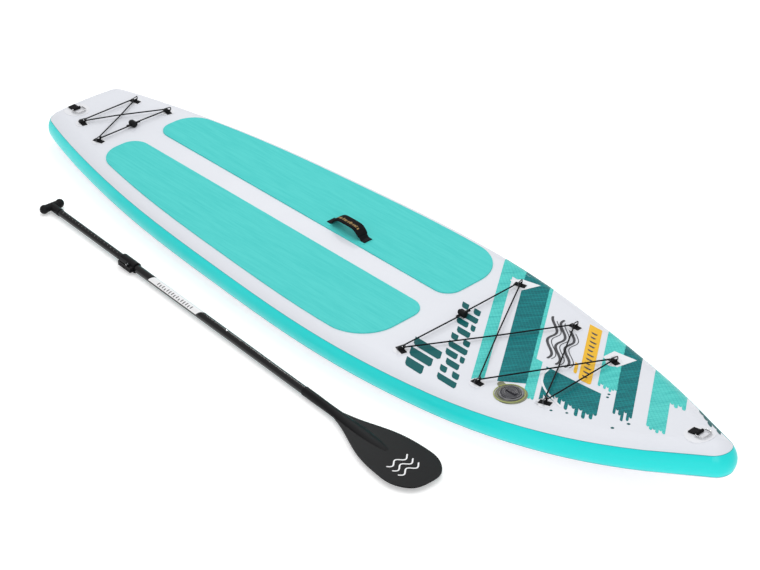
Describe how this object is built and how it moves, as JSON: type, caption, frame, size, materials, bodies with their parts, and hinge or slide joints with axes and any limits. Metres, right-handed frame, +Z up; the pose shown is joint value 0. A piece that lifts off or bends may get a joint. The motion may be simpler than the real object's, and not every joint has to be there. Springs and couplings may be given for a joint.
{
  "type": "inflatable stand up paddleboard",
  "caption": "Inflatable stand up paddleboard with deck pads, bungee cargo nets, valve and towing rings, with a three-piece adjustable paddle lying beside it.",
  "frame": {"origin": "middle of the hull's flat bottom face", "axes": "+X towards the nose, +Y to port, +Z up from the bottom to the deck"},
  "size_m": [3.2, 1.0905, 0.2235],
  "materials": {
    "deck_laminate": "satin",
    "bottom_laminate": "satin",
    "rail_laminate": "satin",
    "thread": "matte",
    "pad_foam": "matte",
    "webbing": "matte",
    "sleeve": "matte",
    "patch": "satin",
    "steel": "polished",
    "valve_olive": "satin",
    "valve_grey": "satin",
    "valve_dark": "satin",
    "black_plastic": "satin",
    "bungee": "matte",
    "black_tube": "satin"
  },
  "bodies": {
    "board": {"anchor_strap_front_port_aft": "webbing", "anchor_strap_front_port_fore": "webbing", "anchor_strap_front_port_mid": "webbing", "anchor_strap_front_starboard_aft": "webbing", "anchor_strap_front_starboard_fore": "webbing", "anchor_strap_front_starboard_mid": "webbing", "anchor_strap_rear_port_aft": "webbing", "anchor_strap_rear_port_fore": "webbing", "anchor_strap_rear_starboard_aft": "webbing", "anchor_strap_rear_starboard_fore": "webbing", "bottom_skin": "bottom_laminate", "deck_pad_port": "pad_foam", "deck_pad_starboard": "pad_foam", "deck_skin": "deck_laminate", "drop_stitch_threads": "thread", "fin_base": "black_plastic", "front_anchor_patches": "patch", "front_anchor_rings": "steel", "front_bungee": "bungee", "front_bungee_knots": "bungee", "front_cord_stopper": "black_plastic", "handle_patches": "patch", "handle_sleeve": "sleeve", "handle_webbing": "webbing", "nose_ring_patch": "patch", "nose_ring_strap": "webbing", "rail_port": "rail_laminate", "rail_starboard": "rail_laminate", "rear_anchor_patches": "patch", "rear_anchor_rings": "steel", "rear_bungee": "bungee", "rear_bungee_knots": "bungee", "rear_cord_stopper": "black_plastic", "tail_ring_patch": "patch", "tail_ring_strap": "webbing", "valve_flange": "valve_olive", "valve_housing": "valve_grey", "valve_nut": "valve_grey"},
    "nose_ring": {"nose_ring": "steel"},
    "tail_ring": {"tail_ring": "steel"},
    "valve_cap": {"valve_cap": "valve_dark"},
    "valve_plunger": {"valve_plunger": "valve_dark"},
    "rear_stopper_button": {"rear_cord_stopper_button": "black_plastic"},
    "front_stopper_button": {"front_cord_stopper_button": "black_plastic"},
    "paddle": {"paddle_middle_shaft": "black_tube", "paddle_lower_shaft": "black_tube", "paddle_ferrule": "black_plastic", "paddle_clamp_collar": "black_plastic", "paddle_clamp_screw": "steel", "paddle_lever_pivot": "steel", "paddle_blade": "black_plastic"},
    "paddle_lever": {"paddle_clamp_lever": "black_plastic"},
    "paddle_upper": {"paddle_upper_shaft": "black_tube", "paddle_upper_plug": "black_plastic", "paddle_grip": "black_plastic"},
    "paddle_button": {"paddle_spring_button": "steel"}
  },
  "joints": [
    {"name": "nose_ring_hinge", "type": "hinge", "parent": "board", "child": "nose_ring", "pos_m": [1.46471, 0, 0.20662], "axis": [0, -1, 0], "range_deg": [0, 150]},
    {"name": "tail_ring_hinge", "type": "hinge", "parent": "board", "child": "tail_ring", "pos_m": [-1.512, -0.078, 0.1309], "axis": [0, -1, 0], "range_deg": [0, 150]},
    {"name": "valve_cap_lift", "type": "slide", "parent": "board", "child": "valve_cap", "axis": [-0.0507, 0, 0.9987], "range_m": [0, 0.06]},
    {"name": "valve_plunger_press", "type": "slide", "parent": "board", "child": "valve_plunger", "axis": [0.0507, 0, -0.9987], "range_m": [0, 0.005], "stiffness_N_per_m": 300, "springref_m": -0.003},
    {"name": "rear_button_press", "type": "slide", "parent": "board", "child": "rear_stopper_button", "axis": [1, 0, 0], "range_m": [0, 0.003], "stiffness_N_per_m": 600, "springref_m": -0.002},
    {"name": "front_button_press", "type": "slide", "parent": "board", "child": "front_stopper_button", "axis": [1, 0, 0], "range_m": [0, 0.003], "stiffness_N_per_m": 600, "springref_m": -0.002},
    {"name": "paddle_lift", "type": "slide", "parent": "board", "child": "paddle", "axis": [0, 0, 1], "range_m": [0, 0.15]},
    {"name": "paddle_length", "type": "slide", "parent": "paddle", "child": "paddle_upper", "axis": [0.9982, -0.0593, 0], "range_m": [0, 0.32]},
    {"name": "paddle_lever_hinge", "type": "hinge", "parent": "paddle", "child": "paddle_lever", "pos_m": [-0.65424, -0.51967, 0.027], "axis": [0.0593, 0.9982, 0], "range_deg": [0, 150]},
    {"name": "paddle_button_press", "type": "slide", "parent": "paddle", "child": "paddle_button", "axis": [0, 0, -1], "range_m": [0, 0.0035], "stiffness_N_per_m": 600, "springref_m": -0.002}
  ]
}
